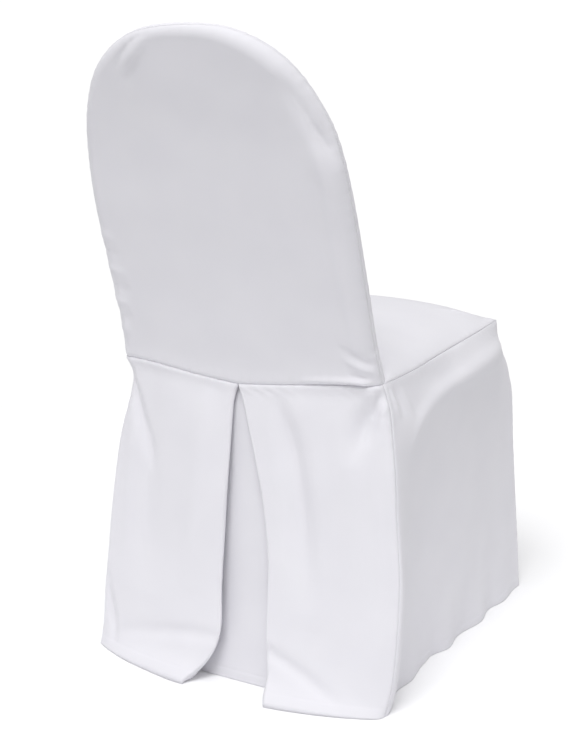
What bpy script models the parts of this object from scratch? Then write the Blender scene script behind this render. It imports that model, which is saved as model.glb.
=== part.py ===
"""A fitted cover for a round-backed banquet chair, hanging as it does on the chair.

It is cut as seven panels of woven polyester and sewn edge to edge: the back's rear and front
panels, the seat, two side skirts, the front skirt, and a rear skirt with one inverted box pleat.
The chair itself is left out, so the cover is hollow and open at the floor.

Units are metres once an object is made. Every size and place below is in millimetres, with +Z up,
the chair facing -Y, and the origin on the floor at the middle of the cover's box.
Left and right are the sitter's: the right side is at -X.
"""

import math

import bpy
import numpy as np

MM = 0.001

# Driving sizes
CLOTH = 1.6
WAIST_HEIGHT = 458.0
PLEAT_HEIGHT = 440.0
BACK_LEAN = math.radians(19.5)
BACK_EDGE_RADIUS = 23.0
FOLD_RADIUS = 2.0

# The back panels' lines run from the edge to points on the middle line between these heights
POLE_HEIGHT = 740.0
REAR_PANEL_FOOT = 453.5
FRONT_PANEL_FOOT = 470.0

# How far round to the rear the seam over the back's edge lies, in degrees, low down and at the top
SEAM_TURN = (5, 20)

# Seams: the gap between sewn panels, how much wider it is where more than two meet, the sharpest
# corner that it allows for, and how long a mitre may grow
SEAM_GAP = 0.4
CROWDED_GAP = 1.8
CORNER_LIMIT = 2.5
MITRE_LIMIT = 1.35

# How many steps each stretch of cloth is drawn with, and how far down its rows lie
CAP_STEPS = 4
FACE_STEPS = 6
OUTLINE_STEPS = 16
FOLD_STEPS = 3
RETURN_STEPS = 3
UNDERLAY_STEPS = 5
SIDE_SHARES = np.array([
    0, 0.02, 0.05, 0.09, 0.13, 0.17, 0.21, 0.26, 0.31, 0.36, 0.41, 0.46, 0.51, 0.56, 0.61, 0.66, 0.71,
    0.76, 0.81, 0.86, 0.91, 0.95, 0.98, 1,
])
ROW_SHARES = (0, 0.025, 0.055, 0.09, 0.13, 0.18, 0.25, 0.34, 0.45, 0.57, 0.69, 0.8, 0.89, 0.95, 1)

# The back's outline from the waist up to the middle of its round top
BACK_OUTLINE = {
    "columns": "half_width height",
    "rows": [
        (211, 458), (207, 500), (205, 560), (203.5, 620), (202, 680), (198.5, 730), (192, 776),
        (182, 812), (168, 842), (151, 868), (128, 890.5), (99, 908), (63, 920.5), (30, 925),
        (0, 926),
    ],
}

# The back's middle plane, which leans and curves a little further back at its top
BACK_MIDDLE = {
    "columns": "height y",
    "rows": [
        (440, 151), (458, 157), (600, 203), (700, 235.5), (760, 254), (800, 267), (840, 283),
        (880, 300), (926, 320),
    ],
}

# The waist seam across the rear, which dips to the pleat
WAIST_SEAM = {"columns": "x height", "rows": [(0, 441), (60, 446.5), (120, 453), (175, 457.5), (211, 458)]}

# How far each panel stands off the back's middle plane, up its middle line
BACK_DEPTH = {
    "columns": "height rear front",
    "rows": [(440, 38, 28), (500, 34, 30), (560, 31, 31), (680, 28, 30), (740, 27, 28)],
}

# The rear skirt, hem to waist: its corners, the pleat's two visible folds, and the pleat's depth
REAR_SKIRT = {
    "columns": "height left_x left_y left_tip right_tip tip_y right_x right_y"
    " left_fold right_fold fold_y roundness",
    "rows": [
        (0, 254, 209, 47, -86, 261, -258, 209, 62, -98, 217, 1.30),
        (12, 252, 208, 38, -82, 257, -260, 207.5, 62, -98, 215.5, 1.30),
        (27, 249.5, 207, 27, -79, 252, -263, 206.5, 62, -97, 213.5, 1.32),
        (50, 247, 205, 15, -75, 246, -265, 205, 62, -97, 210.5, 1.35),
        (80, 244.5, 203, 6, -70, 239, -265.5, 202.5, 62, -96, 207, 1.40),
        (120, 240.5, 198, 2.5, -67, 232, -265, 199, 63, -95, 202, 1.45),
        (200, 233.5, 190, 0, -63, 222, -261, 189.5, 64, -93, 198, 1.55),
        (280, 225.5, 179, -2.5, -51, 213, -250, 180, 64, -86, 194, 1.75),
        (350, 213, 171.5, -3, -32, 204.5, -241, 171, 65, -79, 190, 2.1),
        (400, 201.5, 165, -2.5, -16, 197.5, -231, 165, 65, -71, 187, 2.6),
        (425, 199.5, 162, -1, -7, 193.5, -225, 161.5, 65, -67, 184.5, 3.1),
        (440, 203, 160, 0.3, -0.3, 191, -219, 160, 65, -65, 183, 3.4),
        (458, 211, 158.5, 0.3, -0.3, 191, -211, 158.5, 65, -65, 183, 3.5),
    ],
}

# Soft upright folds in the rear skirt's flaps: where each lies from corner to pleat, 0 to 1, at the
# waist and at the hem, its half width there as a share of the flap, and how far it stands out.
# Each swells from nothing at the waist to its fullest below, and reach and power shape that swell.
FLAP_FOLDS = {
    "columns": "side waist_place hem_place half_width stand_out",
    "rows": [
        (1, 0.10, 0.12, 0.10, 5),
        (1, 0.24, 0.42, 0.13, -8),
        (-1, 0.14, 0.17, 0.10, -5),
        (-1, 0.62, 0.72, 0.16, 5),
    ],
}
FOLD_SWELL = {"reach": 1.3, "power": 0.7}

# Each side skirt from the rear corner to the front one: how far it hangs from the middle plane
SIDE_SKIRT = {
    "columns": "height hollow middle fore corner corner_y",
    "rows": [
        (0, 229, 235, 245, 254, -333),
        (60, 230, 236, 244, 251.5, -326),
        (170, 232, 236, 241, 246, -314),
        (280, 234, 236.5, 238, 241, -304),
        (340, 235, 236.5, 236.5, 238.5, -300.5),
        (375, 235, 236.5, 236, 233, -297),
        (400, 232.5, 235.5, 235, 227, -294),
        (420, 229, 231, 232, 219, -291),
        (445, 221, 223.5, 220, 210, -289.5),
        (472, 213, 215, 212, 206, -290),
    ],
}
SIDE_STATIONS = {"hollow": 0.14, "middle": 0.42, "fore": 0.8}

# The seat's side seam, from the waist corner forward
SEAT_SEAM = {
    "columns": "share x y height",
    "rows": [
        (0, 211, 158.5, 457.3), (0.12, 216, 105, 459), (0.4, 217, -22, 465),
        (0.7, 214, -157, 469), (0.88, 210.5, -238, 471), (1, 206, -290, 472),
    ],
}
SEAT_SEAM_EASE = 4
SEAT_CROWN = {"rise": 28, "side_power": 3, "end_power": 9}
SEAT_FRONT_SEAM = {"bow": 13, "rise": 3}

# The front skirt: how far its middle stands forward of its corners
FRONT_BOW = {
    "columns": "height bow",
    "rows": [(0, 4), (170, 7), (340, 13), (420, 16), (472, 13)],
}

# The ruffle of the side hems: places along the side from rear to front, and how far each stands out
HEM_RUFFLE = {
    "columns": "share right left",
    "rows": [
        (0, 0, 0), (0.12, -3, 1), (0.21, 5, -2), (0.31, 0, 2), (0.36, -4, 3), (0.44, 4, 0),
        (0.51, -4, -3), (0.56, -3, -2), (0.63, 5, 3), (0.68, 6, 3), (0.75, -3, -2), (0.82, 2, 1),
        (0.9, -1, 0), (1, 0, 0),
    ],
}
RUFFLE_HEIGHT = 110.0
RUFFLE_POWER = 1.5

# How far down, as a share of the height, a skirt's upper rows are drawn to the seam they hang from
SETTLE_SHARE = {"rear": 0.25, "other": 0.2}
WAIST_LINE_FADE = 7

# Panels whose rows and columns run so that their faces would point inwards
DRAWN_INSIDE_OUT = ("back_front_panel", "left_side_skirt")


def column(table, name):
    """One named column of a table, as numbers."""
    place = table["columns"].split().index(name)
    return np.array([row[place] for row in table["rows"]], float)


def smooth(at, knots, values):
    """The smooth curve through (knots, values), read at each place in at."""
    slopes = np.gradient(values, knots)
    cell = np.clip(np.searchsorted(knots, at, side="right") - 1, 0, len(knots) - 2)
    span = knots[cell + 1] - knots[cell]
    t = np.clip((at - knots[cell]) / span, 0, 1)
    start = (1 + 2 * t) * (1 - t) ** 2 * values[cell] + t * (1 - t) ** 2 * span * slopes[cell]
    end = t**2 * (3 - 2 * t) * values[cell + 1] - t**2 * (1 - t) * span * slopes[cell + 1]
    return start + end


def read(table, name, at):
    """A named column of a table, read smoothly at each place in at along its first column."""
    first = table["columns"].split()[0]
    return smooth(np.asarray(at, float), column(table, first), column(table, name))


def lengths_along(points):
    """The distance from the first point to each point, along the line through them."""
    steps = np.linalg.norm(np.diff(points, axis=0), axis=1)
    return np.concatenate([[0], np.cumsum(steps)])


def outline_points(steps):
    """The widest edge of the back, from the right waist corner over the top to the left one."""
    half_width = column(BACK_OUTLINE, "half_width")
    height = column(BACK_OUTLINE, "height")
    x = np.concatenate([-half_width, half_width[-2::-1]])
    z = np.concatenate([height, height[-2::-1]])
    along = lengths_along(np.stack([x, z], 1))
    at = np.linspace(0, along[-1], 2 * steps + 1)
    x, z = smooth(at, along, x), smooth(at, along, z)
    return np.stack([x, read(BACK_MIDDLE, "y", z), z], 1)


def seam_angle(edge):
    """The seam over the back's edge lies a little to the rear, and more so over the top."""
    top = np.clip((edge[:, 2] - POLE_HEIGHT) / (edge[:, 2].max() - POLE_HEIGHT), 0, 1)
    return np.radians(SEAM_TURN[0] + (SEAM_TURN[1] - SEAM_TURN[0]) * top)


def back_panel(rear):
    """One panel of the back, as lines from the seam at its edge to its middle line.

    The edge is a round cap, and the face stands off the middle plane behind it or before it.
    """
    sign = 1 if rear else -1
    edge = outline_points(OUTLINE_STEPS)
    outward = np.array([0, math.cos(BACK_LEAN), -math.sin(BACK_LEAN)])
    foot = REAR_PANEL_FOOT if rear else FRONT_PANEL_FOOT
    spine_height = np.interp(edge[:, 2], [WAIST_HEIGHT, POLE_HEIGHT], [foot, POLE_HEIGHT])
    spine = np.stack([0 * spine_height, read(BACK_MIDDLE, "y", spine_height), spine_height], 1)
    depth = read(BACK_DEPTH, "rear" if rear else "front", spine_height)
    cap_steps = CAP_STEPS if rear else CAP_STEPS + 1
    lines = []
    for place, middle, stand_off, seam in zip(edge, spine, depth, seam_angle(edge)):
        length = np.linalg.norm(middle - place)
        angle = np.linspace(sign * seam, math.pi / 2, cap_steps + 1)
        share = np.linspace(0, 1, FACE_STEPS + 1)[1:]
        cap_reach = BACK_EDGE_RADIUS * (1 - np.cos(angle))
        face_reach = BACK_EDGE_RADIUS + (length - BACK_EDGE_RADIUS) * share
        face_depth = BACK_EDGE_RADIUS + (stand_off - BACK_EDGE_RADIUS) * np.sin(share * math.pi / 2)
        reach = np.concatenate([cap_reach, face_reach])[:, None]
        depth_out = np.concatenate([BACK_EDGE_RADIUS * np.sin(angle), face_depth])[:, None]
        line = place + (middle - place) * reach / length
        line[:, 1] = read(BACK_MIDDLE, "y", line[:, 2])
        lines.append(line + sign * depth_out * outward)
    lines = np.array(lines)
    if rear:
        lines = lines + waist_lift(lines)
    return lines


def waist_lift(lines):
    """How far each point of the rear panel slides up it, so that its lower edge is the waist seam."""
    up = np.array([0, math.tan(BACK_LEAN), 1])
    lift = np.zeros(lines.shape)
    for end in (0, -1):
        gap = read(WAIST_SEAM, "height", abs(lines[end, :, 0])) - lines[end, :, 2]
        gap -= gap[0]
        for step in range(WAIST_LINE_FADE):
            line = step if end == 0 else -1 - step
            lift[line] = (1 - step / WAIST_LINE_FADE) ** 2 * gap[:, None] * up
    return lift


def fold_path(tip, fold):
    """The pleat's cloth from a visible fold, round it and back under the flap, to the inner fold.

    Two arcs of the fold's radius and the straight line that touches both. It is worked out for the
    left half, whose flap arrives going towards -X and whose underlay leaves that way.
    """
    tip_centre = tip - [0, FOLD_RADIUS]
    fold_centre = fold + [0, FOLD_RADIUS]
    across = fold_centre - tip_centre
    lean = math.asin(min(1, 2 * FOLD_RADIUS / np.linalg.norm(across)))
    heading = math.atan2(across[1], across[0]) + lean
    first = np.linspace(math.pi / 2, heading + 1.5 * math.pi, FOLD_STEPS + 1)
    second = np.linspace(heading + math.pi / 2, -math.pi / 2, FOLD_STEPS + 1)
    round_tip = tip_centre + FOLD_RADIUS * np.stack([np.cos(first), np.sin(first)], 1)
    round_fold = fold_centre + FOLD_RADIUS * np.stack([np.cos(second), np.sin(second)], 1)
    share = np.linspace(0, 1, RETURN_STEPS + 1)[1:-1, None]
    straight = round_tip[-1] + (round_fold[0] - round_tip[-1]) * share
    return np.concatenate([round_tip, straight, round_fold])


def flap_path(corner, tip, share, roundness, side, height):
    """One flap from the skirt's corner to the pleat's visible fold, with its soft folds.

    The soft folds are at their fullest part way down, and flat at the waist.
    """
    rise = (1 - (1 - share) ** roundness) ** (1 / roundness)
    path = corner + (tip - corner) * np.stack([share, rise], 1)
    fall = 1 - height / WAIST_HEIGHT
    for row_side, waist_place, hem_place, half_width, stand_out in FLAP_FOLDS["rows"]:
        if row_side == side:
            place = waist_place + (hem_place - waist_place) * fall
            swell = np.exp(-(((share - place) / half_width) ** 2)) * share * (1 - share) * 4
            fullness = math.sin(math.pi * min(1, fall * FOLD_SWELL["reach"])) ** FOLD_SWELL["power"]
            path[:, 1] += stand_out * swell * fullness
    return path


def rear_section(height, share):
    """The rear skirt's cloth at one height, from its left corner through the pleat to its right."""
    at = {name: float(read(REAR_SKIRT, name, [height])[0]) for name in REAR_SKIRT["columns"].split()}
    turn = FOLD_RADIUS + CLOTH / 2
    halves = []
    for side, name in ((1, "left"), (-1, "right")):
        corner = np.array([side * at[f"{name}_x"], at[f"{name}_y"]])
        tip = np.array([side * at[f"{name}_tip"] + turn, at["tip_y"]])
        fold = np.array([side * at[f"{name}_fold"], at["fold_y"]])
        flap = flap_path(corner, tip, share, at["roundness"], side, height)
        half = np.concatenate([flap, fold_path(tip, fold)[1:]])
        halves.append(half * [side, 1])
    left, right = halves
    across = np.linspace(0, 1, UNDERLAY_STEPS + 1)[1:-1, None]
    underlay = left[-1] + (right[-1] - left[-1]) * across
    return np.concatenate([left, underlay, right[::-1]])


def rear_skirt(waist):
    """The rear skirt as rows from the waist seam down to the hem.

    waist is the seam from the left corner to the right one, which the flaps' upper edges follow.
    """
    half = len(waist) // 2
    share = lengths_along(waist[: half + 1] * [1, 0, 0])
    share = share / share[-1]
    flat = rear_section(PLEAT_HEIGHT, share)
    top_height = np.interp(flat[:, 0], waist[::-1, 0], waist[::-1, 2])
    rows = []
    for fall in ROW_SHARES:
        row = []
        for place, top in enumerate(top_height):
            height = top * (1 - fall)
            row.append([*rear_section(height, share)[place], height])
        rows.append(row)
    rows = np.array(rows)
    seam = np.concatenate([waist[:half], waist[half + 1 :]])
    columns = [*range(half), *range(len(flat) - half, len(flat))]
    rows[:, columns] += settled("rear") * (seam - rows[0, columns])
    return rows


def settled(skirt):
    """How much each row of a skirt is moved with its seam: all of it at the seam, fading below."""
    return (np.clip(1 - np.array(ROW_SHARES) / SETTLE_SHARE[skirt], 0, 1) ** 2)[:, None, None]


def seat_side_seam(side, corner):
    """The seam at the seat's side, from the waist corner it shares with the back to the front."""
    share = SIDE_SHARES
    x, y, z = (read(SEAT_SEAM, name, share) for name in ("x", "y", "height"))
    seam = np.stack([side * x, y, z], 1)
    return seam + (corner - seam[0]) * (1 - share[:, None]) ** SEAT_SEAM_EASE


def seat_front_seam(share):
    """The seam at the seat's front, from the right corner to the left one."""
    corner = SEAT_SEAM["rows"][-1]
    x = corner[1] * (2 * share - 1)
    bow = 1 - (2 * share - 1) ** 2
    y, z = corner[2] - SEAT_FRONT_SEAM["bow"] * bow, corner[3] + SEAT_FRONT_SEAM["rise"] * bow
    return np.stack([x, y, z], 1)


def seat_panel(crease):
    """The seat between its crease, its side seams and its front seam, crowned over the cushion."""
    u = lengths_along(crease)
    u = u / u[-1]
    right, left = seat_side_seam(-1, crease[0]), seat_side_seam(1, crease[-1])
    v = lengths_along(right)
    v = v / v[-1]
    front = seat_front_seam(u)
    across, down = u[None, :, None], v[:, None, None]
    rows = (1 - down) * crease + down * front + (1 - across) * right[:, None] + across * left[:, None]
    rows -= (1 - across) * (1 - down) * crease[0] + across * (1 - down) * crease[-1]
    rows -= (1 - across) * down * front[0] + across * down * front[-1]
    across_crown = 1 - np.abs(2 * u - 1) ** SEAT_CROWN["side_power"]
    down_crown = 1 - np.abs(2 * v - 1) ** SEAT_CROWN["end_power"]
    rows[:, :, 2] += SEAT_CROWN["rise"] * across_crown * down_crown[:, None]
    return rows


def side_skirt(side, seam, ridge):
    """A side skirt from the seat's side seam to the hem; its rear edge is the rear skirt's corner."""
    share = lengths_along(seam)
    share = share / share[-1]
    stations = np.array([0, *SIDE_STATIONS.values(), 1])
    ruffle = read(HEM_RUFFLE, "right" if side < 0 else "left", share)
    rows = []
    for place, fall in enumerate(ROW_SHARES):
        height = seam[:, 2] * (1 - fall)
        out = [np.full(len(share), side * ridge[place, 0])]
        out += [read(SIDE_SKIRT, name, height) for name in SIDE_STATIONS]
        out.append(read(SIDE_SKIRT, "corner", height))
        x = [smooth(at, stations, np.array(known)) for at, known in zip(share, zip(*out))]
        x += ruffle * np.clip(1 - height / RUFFLE_HEIGHT, 0, 1) ** RUFFLE_POWER
        front_y = read(SIDE_SKIRT, "corner_y", height)
        y = ridge[place, 1] + (front_y - ridge[place, 1]) * share
        rows.append(np.stack([side * np.array(x), y, height], 1))
    rows = np.array(rows)
    rows += settled("other") * (seam - rows[0])
    rows[:, 0] = ridge
    return rows


def front_skirt(seam, right_edge, left_edge):
    """The front skirt between the side skirts' front edges, bowed a little forward."""
    share = lengths_along(seam)
    share = share / share[-1]
    rows = []
    for place, fall in enumerate(ROW_SHARES):
        row = right_edge[place] + (left_edge[place] - right_edge[place]) * share[:, None]
        row[:, 2] = seam[:, 2] * (1 - fall)
        row[:, 1] -= read(FRONT_BOW, "bow", row[:, 2]) * (1 - (2 * share - 1) ** 2)
        rows.append(row)
    rows = np.array(rows)
    rows += settled("other") * (seam - rows[0])
    return rows


def centred(grids):
    """The grids moved so that the origin lies under the middle of the cover's box."""
    every = np.concatenate([grid.reshape(-1, 3) for grid in grids.values()])
    middle = (every.min(0) + every.max(0)) / 2 * [1, 1, 0]
    return {name: grid - middle for name, grid in grids.items()}


def skin(grid, flip):
    """A grid of points as (points, faces), with points that lie together made one."""
    rows, columns = grid.shape[:2]
    points, index = np.unique(np.round(grid.reshape(-1, 3), 3), axis=0, return_inverse=True)
    index = index.reshape(rows, columns)
    faces = []
    for r in range(rows - 1):
        for c in range(columns - 1):
            corners = [index[r, c], index[r + 1, c], index[r + 1, c + 1], index[r, c + 1]]
            corners = [n for k, n in enumerate(corners) if n != corners[k - 1]]
            if len(corners) > 2:
                faces.append(corners[::-1] if flip else corners)
    return points, faces


def face_normal(points, face):
    ring = points[face]
    after = np.roll(ring, -1, axis=0)
    return np.cross(ring, after).sum(0)


def place_key(point):
    return tuple(np.round(point, 1) + 0.0)


def meeting_normals(skins):
    """For each place, the outward direction there of every panel that meets at it."""
    meeting = {}
    for points, faces in skins.values():
        normals = np.zeros_like(points)
        for face in faces:
            normals[face] += face_normal(points, face)
        for point, normal in zip(points, normals):
            meeting.setdefault(place_key(point), []).append(normal / np.linalg.norm(normal))
    return meeting


def mitre(normals):
    """One direction for all the panels that meet at a place, long enough to keep them thick."""
    mean = np.sum(normals, axis=0)
    mean /= np.linalg.norm(mean)
    return mean * min(MITRE_LIMIT, 1 / (np.array(normals) @ mean).mean())


def open_edges(faces):
    """The edges with one face, each in its face's own direction."""
    edges = {}
    for place, face in enumerate(faces):
        for k, n in enumerate(face):
            edges[(n, face[(k + 1) % len(face)])] = place
    return {edge: place for edge, place in edges.items() if edge[::-1] not in edges}


def drawn_in(points, faces, meeting):
    """The points with each sewn edge drawn in by half the gap. The hem on the floor stays."""
    move = np.zeros_like(points)
    count = np.zeros(len(points))
    for (a, b), place in open_edges(faces).items():
        if points[a, 2] < SEAM_GAP and points[b, 2] < SEAM_GAP:
            continue
        inward = np.cross(face_normal(points, faces[place]), points[b] - points[a])
        inward /= np.linalg.norm(inward)
        for n in (a, b):
            move[n] += inward
            count[n] += 1
    away = np.linalg.norm(move, axis=1)
    away = np.maximum(away, 1e-9)
    reach = np.minimum(CORNER_LIMIT, count / away) * SEAM_GAP / 2
    reach *= [CROWDED_GAP if len(meeting[place_key(point)]) > 2 else 1 for point in points]
    moved = points + move * (reach / away)[:, None]
    on_floor = points[:, 2] < SEAM_GAP
    moved[on_floor, 2] = points[on_floor, 2]
    return moved


def cloth_solid(name, skin_of_panel, meeting, collection, material):
    """One panel as a closed sheet of the cloth's thickness, half of it on each side of its skin."""
    points, faces = skin_of_panel
    half_cloth = np.array([mitre(meeting[place_key(point)]) for point in points]) * CLOTH / 2
    points = drawn_in(points, faces, meeting)
    outer = points + half_cloth
    inner = points - half_cloth
    on_floor = points[:, 2] < SEAM_GAP
    outer[on_floor, 2] = points[on_floor, 2]
    inner[on_floor, 2] = points[on_floor, 2]
    count = len(points)
    walls = [(b, a, a + count, b + count) for a, b in open_edges(faces)]
    back = [[n + count for n in face[::-1]] for face in faces]
    mesh = bpy.data.meshes.new(name)
    mesh.from_pydata((np.concatenate([outer, inner]) * MM).tolist(), [], faces + back + walls)
    mesh.materials.append(material)
    mesh.shade_smooth()
    mesh.set_sharp_from_angle(angle=math.radians(50))
    mesh.validate()
    obj = bpy.data.objects.new(name, mesh)
    collection.objects.link(obj)
    return obj


def woven_polyester():
    """White woven polyester with a slightly cool cast and a soft sheen."""
    material = bpy.data.materials.new("white_woven_polyester")
    material.use_nodes = True
    surface = material.node_tree.nodes["Principled BSDF"]
    surface.inputs["Base Color"].default_value = (0.83, 0.82, 0.86, 1)
    surface.inputs["Roughness"].default_value = 0.75
    surface.inputs["Metallic"].default_value = 0.0
    surface.inputs["Sheen Weight"].default_value = 0.3
    return material


def main():
    for obj in list(bpy.data.objects):
        bpy.data.objects.remove(obj)
    collection = bpy.data.collections.new("chair_cover")
    bpy.context.scene.collection.children.link(collection)

    back_rear = back_panel(rear=True)
    back_front = back_panel(rear=False)
    waist = np.concatenate([back_rear[-1], back_rear[0][-2::-1]])
    crease = np.concatenate([back_front[0], back_front[-1][-2::-1]])
    rear = rear_skirt(waist)
    seat = seat_panel(crease)
    side_right = side_skirt(-1, seat[:, 0], rear[:, -1])
    side_left = side_skirt(1, seat[:, -1], rear[:, 0])
    front = front_skirt(seat[-1], side_right[:, -1], side_left[:, -1])
    grids = {
        "back_rear_panel": back_rear,
        "back_front_panel": back_front,
        "seat_panel": seat,
        "rear_skirt": rear,
        "right_side_skirt": side_right,
        "left_side_skirt": side_left,
        "front_skirt": front,
    }
    skins = {name: skin(grid, name in DRAWN_INSIDE_OUT) for name, grid in centred(grids).items()}
    meeting = meeting_normals(skins)
    material = woven_polyester()
    for name, panel in skins.items():
        cloth_solid(name, panel, meeting, collection, material)


main()
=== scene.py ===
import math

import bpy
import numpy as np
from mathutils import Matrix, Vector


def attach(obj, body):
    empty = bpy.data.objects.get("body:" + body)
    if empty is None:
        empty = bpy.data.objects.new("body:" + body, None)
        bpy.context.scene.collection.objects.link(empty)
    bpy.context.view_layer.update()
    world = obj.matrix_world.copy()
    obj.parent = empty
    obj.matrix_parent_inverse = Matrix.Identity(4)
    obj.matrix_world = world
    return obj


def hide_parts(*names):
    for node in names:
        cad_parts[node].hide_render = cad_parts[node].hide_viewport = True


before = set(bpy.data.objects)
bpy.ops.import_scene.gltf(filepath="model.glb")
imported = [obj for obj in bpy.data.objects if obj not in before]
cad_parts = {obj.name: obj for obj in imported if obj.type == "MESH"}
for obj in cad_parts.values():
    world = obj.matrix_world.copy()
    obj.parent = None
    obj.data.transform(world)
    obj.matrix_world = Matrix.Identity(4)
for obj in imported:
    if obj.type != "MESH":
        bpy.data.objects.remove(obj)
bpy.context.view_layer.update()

# The fitted white cover of a round-backed banquet chair, seen from behind its right corner.
#
# Seven panels of woven polyester are sewn edge to edge and hang as they do in use. Sizes and places are
# in millimetres, with +Z up and the front towards -Y.


# The back's rear panel.
# One piece of white woven polyester over the rear of the chair's back, with a round top. It is sewn
# to the front panel round its edge and to the rear skirt along the waist, and the chair holds it taut.

MM = 0.001
# The middle of the cover's box, from the middle of the chair's back at x = 0
BOX_MIDDLE = np.array([-5.77, -1.43, 0])

# The back's widest edge, from the waist up to the middle of its round top
BACK_OUTLINE = {
    "columns": "half_width height",
    "rows": [
        (211, 458), (207, 500), (205, 560), (203.5, 620), (202, 680), (198.5, 730), (192, 776),
        (182, 812), (168, 842), (151, 868), (128, 890.5), (99, 908), (63, 920.5), (30, 925),
        (0, 926),
    ],
}
# The back's middle plane, which leans and curves a little further back at its top
BACK_MIDDLE = {
    "columns": "height y",
    "rows": [
        (440, 151), (458, 157), (600, 203), (700, 235.5), (760, 254), (800, 267), (840, 283),
        (880, 300), (926, 320),
    ],
}
# How far each panel stands off the middle plane, up its middle line
BACK_DEPTH = {
    "columns": "height rear front",
    "rows": [(440, 38, 28), (500, 34, 30), (560, 31, 31), (680, 28, 30), (740, 27, 28)],
}
# The seam across the waist, which dips to the pleat
WAIST_SEAM = {
    "columns": "x height",
    "rows": [(0, 441), (60, 446.5), (120, 453), (175, 457.5), (211, 458)],
}
# The height of the waist's corners, how far up the rear panel the seam's dip is felt, and how far the
# back leans
WAIST_HEIGHT = 458.0
WAIST_FADE = 140.0
BACK_LEAN = math.radians(19.5)
# The radius of the cloth's turn round the chair's edge, tighter over the top
BACK_EDGE = {
    "columns": "share radius",
    "rows": [(0, 23), (0.25, 23), (0.42, 17), (0.5, 14), (0.6, 16), (0.75, 23), (1, 23)],
}
# Lines of cloth run from the edge to the middle line between these heights, and to a pole above them
POLE_HEIGHT = 740.0
REAR_PANEL_FOOT = 453.5
# How far round to the rear the edge seam lies, in degrees, from the right waist corner over the top to
# the left one: the cloth has slipped a little forward at the right shoulder and back at the top
SEAM_TURN = {
    "columns": "share turn",
    "rows": [
        (0, 5), (0.18, 1), (0.3, -12), (0.38, -16), (0.45, 2), (0.51, 18), (0.6, 15), (0.8, 7), (1, 5),
    ],
}
# Steps of the mesh along the half outline, round the edge, and from there to the middle line
OUTLINE_STEPS = 240
CAP_STEPS = 12
FACE_STEPS = 66


def column(table, name):
    """One named column of a table, as numbers."""
    place = table["columns"].split().index(name)
    return np.array([row[place] for row in table["rows"]], float)


def smooth(at, knots, values):
    """The smoothest curve through (knots, values), a natural cubic spline, read at each place in at."""
    count = len(knots)
    span = np.diff(knots)
    rise = np.diff(values) / span
    sums, right = np.zeros((count, count)), np.zeros(count)
    sums[0, :2], sums[-1, -2:] = (2, 1), (1, 2)
    right[0], right[-1] = 3 * rise[0], 3 * rise[-1]
    for k in range(1, count - 1):
        sums[k, k - 1 : k + 2] = span[k], 2 * (span[k - 1] + span[k]), span[k - 1]
        right[k] = 3 * (span[k] * rise[k - 1] + span[k - 1] * rise[k])
    slopes = np.linalg.solve(sums, right)
    cell = np.clip(np.searchsorted(knots, at, side="right") - 1, 0, count - 2)
    t = np.clip((at - knots[cell]) / span[cell], 0, 1)
    start = (1 + 2 * t) * (1 - t) ** 2 * values[cell] + t * (1 - t) ** 2 * span[cell] * slopes[cell]
    end = t**2 * (3 - 2 * t) * values[cell + 1] - t**2 * (1 - t) * span[cell] * slopes[cell + 1]
    return start + end


def read(table, name, at):
    """A named column of a table, read smoothly at each place in at along its first column."""
    first = table["columns"].split()[0]
    return smooth(np.asarray(at, float), column(table, first), column(table, name))


def lengths_along(points):
    """The distance from the first point to each point, along the line through them."""
    steps = np.linalg.norm(np.diff(points, axis=0), axis=-1)
    return np.concatenate([[0 * steps[0]], np.cumsum(steps, axis=0)])


def shares(steps, crowding=0.5):
    """Places from 0 to 1, closer together at both ends, where the seams are."""
    even = np.linspace(0, 1, steps + 1)
    return even - crowding * np.sin(2 * math.pi * even) / (2 * math.pi)


def outline_points(steps):
    """The widest edge of the back, from the right waist corner over the top to the left one."""
    half_width, height = column(BACK_OUTLINE, "half_width"), column(BACK_OUTLINE, "height")
    x = np.concatenate([-half_width, half_width[-2::-1]])
    z = np.concatenate([height, height[-2::-1]])
    along = lengths_along(np.stack([x, z], 1))
    at = shares(2 * steps) * along[-1]
    x, z = smooth(at, along, x), smooth(at, along, z)
    return np.stack([x, read(BACK_MIDDLE, "y", z), z], 1)


def back_panel(rear, foot):
    """One panel of the back, as lines from the seam at its edge to its middle line."""
    sign = 1 if rear else -1
    edge = outline_points(OUTLINE_STEPS)
    seam = np.radians(read(SEAM_TURN, "turn", shares(2 * OUTLINE_STEPS)))[:, None]
    outward = np.array([0, math.cos(BACK_LEAN), -math.sin(BACK_LEAN)])
    spine_height = np.interp(edge[:, 2], [WAIST_HEIGHT, POLE_HEIGHT], [foot, POLE_HEIGHT])
    spine = np.stack([0 * spine_height, read(BACK_MIDDLE, "y", spine_height), spine_height], 1)
    stand_off = read(BACK_DEPTH, "rear" if rear else "front", spine_height)[:, None]
    length = np.linalg.norm(spine - edge, axis=1)[:, None]
    radius = read(BACK_EDGE, "radius", shares(2 * OUTLINE_STEPS))[:, None]
    angle = sign * seam + (math.pi / 2 - sign * seam) * np.linspace(0, 1, CAP_STEPS + 1)
    share = np.linspace(0, 1, FACE_STEPS + 1)[1:]
    reach = np.concatenate([
        radius * (1 - np.cos(angle)),
        radius + (length - radius) * share,
    ], axis=1)
    depth = np.concatenate([
        radius * np.sin(angle),
        radius + (stand_off - radius) * np.sin(share * math.pi / 2),
    ], axis=1)
    lines = edge[:, None] + (spine - edge)[:, None] * (reach / length)[:, :, None]
    lines[:, :, 1] = read(BACK_MIDDLE, "y", lines[:, :, 2])
    return lines + sign * depth[:, :, None] * outward


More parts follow.
